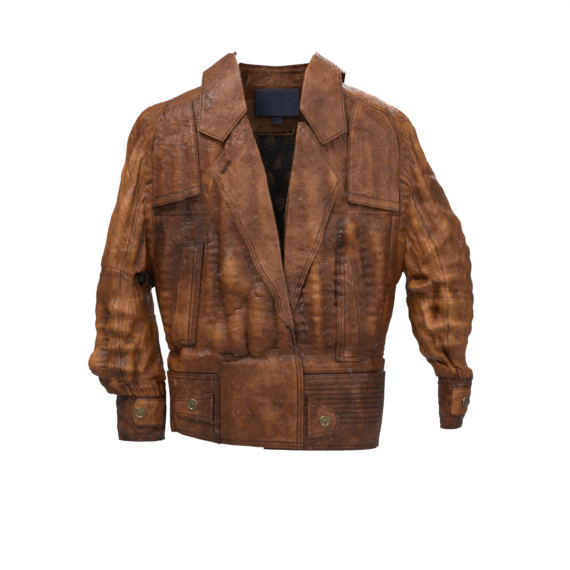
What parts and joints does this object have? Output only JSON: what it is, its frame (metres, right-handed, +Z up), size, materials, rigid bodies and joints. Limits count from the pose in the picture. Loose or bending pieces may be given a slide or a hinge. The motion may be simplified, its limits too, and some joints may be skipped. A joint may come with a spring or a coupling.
{
  "type": "leather riding jacket",
  "caption": "Cropped batwing leather riding jacket with notched collar and lapels, storm flaps, slanted welt pockets, snap-tab waistband and cuffs, and a patterned lining.",
  "frame": {"origin": "middle of the neck opening on the line of the shoulders, where a hanger bears", "axes": "+Z up, +X towards the wearer's left, front faces -Y"},
  "size_m": [0.647, 0.2107, 0.6663],
  "materials": {
    "body_leather": "worn cognac leather, softly creased",
    "sleeve_leather": "worn cognac leather, lighter on top",
    "collar_leather": "worn tan leather with rubbed edges",
    "trim_leather": "worn brown leather, stitched",
    "band_leather": "dark brown leather in stitched rows",
    "lining": "satin lining with a woven paisley",
    "label_weave": "plain woven patch",
    "padding": "felted wadding",
    "snap_metal": "antiqued brass"
  },
  "bodies": {
    "torso": {"back_panel": "body_leather", "back_yoke": "body_leather", "back_lining": "lining", "waistband_back": "band_leather", "neck_facing": "body_leather", "collar_stand": "body_leather", "collar_back": "collar_leather", "neck_label": "label_weave", "size_tab": "label_weave", "hang_loop": "trim_leather", "right_saddle": "body_leather", "right_shoulder_pad": "padding", "right_chest": "body_leather", "right_side_panel": "body_leather", "right_sleeve_head": "sleeve_leather", "left_saddle": "body_leather", "left_shoulder_pad": "padding", "left_chest": "body_leather", "left_side_panel": "body_leather", "left_sleeve_head": "sleeve_leather"},
    "right_front": {"right_front": "body_leather", "right_lapel": "collar_leather", "right_front_lining": "lining", "right_pocket_welt": "trim_leather", "right_pocket_bag": "lining", "right_waistband": "band_leather", "right_waist_stud": "snap_metal"},
    "right_waist_tab": {"right_waist_tab": "trim_leather", "right_waist_snap": "snap_metal"},
    "right_storm_flap": {"right_storm_flap": "trim_leather"},
    "right_collar_leaf": {"right_collar_leaf": "collar_leather"},
    "right_upper_sleeve": {"right_upper_sleeve": "sleeve_leather", "right_elbow": "sleeve_leather", "right_sleeve_lining": "lining"},
    "right_forearm": {"right_forearm": "sleeve_leather", "right_cuff": "band_leather", "right_cuff_stud": "snap_metal"},
    "right_cuff_tab": {"right_cuff_tab": "trim_leather", "right_cuff_snap": "snap_metal"},
    "left_front": {"left_front": "body_leather", "left_lapel": "collar_leather", "left_front_lining": "lining", "left_pocket_welt": "trim_leather", "left_pocket_bag": "lining", "left_waistband": "band_leather", "left_waist_stud": "snap_metal"},
    "left_waist_tab": {"left_waist_tab": "trim_leather", "left_waist_snap": "snap_metal"},
    "left_storm_flap": {"left_storm_flap": "trim_leather"},
    "left_collar_leaf": {"left_collar_leaf": "collar_leather"},
    "left_upper_sleeve": {"left_upper_sleeve": "sleeve_leather", "left_elbow": "sleeve_leather", "left_sleeve_lining": "lining"},
    "left_forearm": {"left_forearm": "sleeve_leather", "left_cuff": "band_leather", "left_cuff_stud": "snap_metal"},
    "left_cuff_tab": {"left_cuff_tab": "trim_leather", "left_cuff_snap": "snap_metal"}
  },
  "joints": [
    {"name": "right_front_hinge", "type": "hinge", "parent": "torso", "child": "right_front", "pos_m": [-0.18107, -0.05087, -0.40813], "axis": [0.0505, 0.0973, -0.994], "range_deg": [0, 60], "deforming": ["right_side_panel"]},
    {"name": "left_front_hinge", "type": "hinge", "parent": "torso", "child": "left_front", "pos_m": [0.18107, -0.05087, -0.40813], "axis": [0.0505, -0.0973, 0.994], "range_deg": [0, 30], "deforming": ["left_side_panel"]},
    {"name": "right_storm_flap_hinge", "type": "hinge", "parent": "torso", "child": "right_storm_flap", "pos_m": [-0.16476, -0.07066, -0.08342], "axis": [-0.9454, 0.2323, -0.2285], "range_deg": [0, 35]},
    {"name": "left_storm_flap_hinge", "type": "hinge", "parent": "torso", "child": "left_storm_flap", "pos_m": [0.1592, -0.07208, -0.08955], "axis": [-0.9619, -0.2308, 0.1468], "range_deg": [0, 35]},
    {"name": "right_collar_leaf_hinge", "type": "hinge", "parent": "torso", "child": "right_collar_leaf", "pos_m": [-0.05803, -0.06434, -0.00782], "axis": [-0.2024, 0.4327, 0.8785], "range_deg": [0, 60]},
    {"name": "left_collar_leaf_hinge", "type": "hinge", "parent": "torso", "child": "left_collar_leaf", "pos_m": [0.05023, -0.06888, -0.00803], "axis": [-0.2218, -0.3776, -0.899], "range_deg": [0, 60]},
    {"name": "right_waist_tab_hinge", "type": "hinge", "parent": "right_front", "child": "right_waist_tab", "pos_m": [-0.10235, -0.09597, -0.5449], "axis": [0.0012, -0.0519, 0.9987], "range_deg": [0, 80]},
    {"name": "left_waist_tab_hinge", "type": "hinge", "parent": "left_front", "child": "left_waist_tab", "pos_m": [0.05083, -0.10412, -0.55932], "axis": [0.0003, 0.0458, -0.999], "range_deg": [0, 80]},
    {"name": "right_shoulder", "type": "hinge", "parent": "torso", "child": "right_upper_sleeve", "pos_m": [-0.198, 0, -0.05], "axis": [0, 1, 0], "range_deg": [0, 75], "deforming": ["right_sleeve_head"]},
    {"name": "left_shoulder", "type": "hinge", "parent": "torso", "child": "left_upper_sleeve", "pos_m": [0.198, 0, -0.05], "axis": [0, -1, 0], "range_deg": [0, 75], "deforming": ["left_sleeve_head"]},
    {"name": "right_elbow_bend", "type": "hinge", "parent": "right_upper_sleeve", "child": "right_forearm", "pos_m": [-0.252, 0.006, -0.365], "axis": [-1, 0, 0], "range_deg": [0, 65], "deforming": ["right_elbow", "right_sleeve_lining"]},
    {"name": "left_elbow_bend", "type": "hinge", "parent": "left_upper_sleeve", "child": "left_forearm", "pos_m": [0.281, 0.006, -0.352], "axis": [-1, 0, 0], "range_deg": [0, 65], "deforming": ["left_elbow", "left_sleeve_lining"]},
    {"name": "right_cuff_tab_hinge", "type": "hinge", "parent": "right_forearm", "child": "right_cuff_tab", "pos_m": [-0.18827, -0.02015, -0.55782], "axis": [0.0351, -0.0226, 0.9991], "range_deg": [0, 75]},
    {"name": "left_cuff_tab_hinge", "type": "hinge", "parent": "left_forearm", "child": "left_cuff_tab", "pos_m": [0.29302, -0.04289, -0.53954], "axis": [-0.0611, 0.0486, -0.9969], "range_deg": [0, 75]}
  ],
  "couplings": [
    {"joint": "left_front_hinge", "follows": "right_front_hinge", "ratio": 0.5}
  ]
}
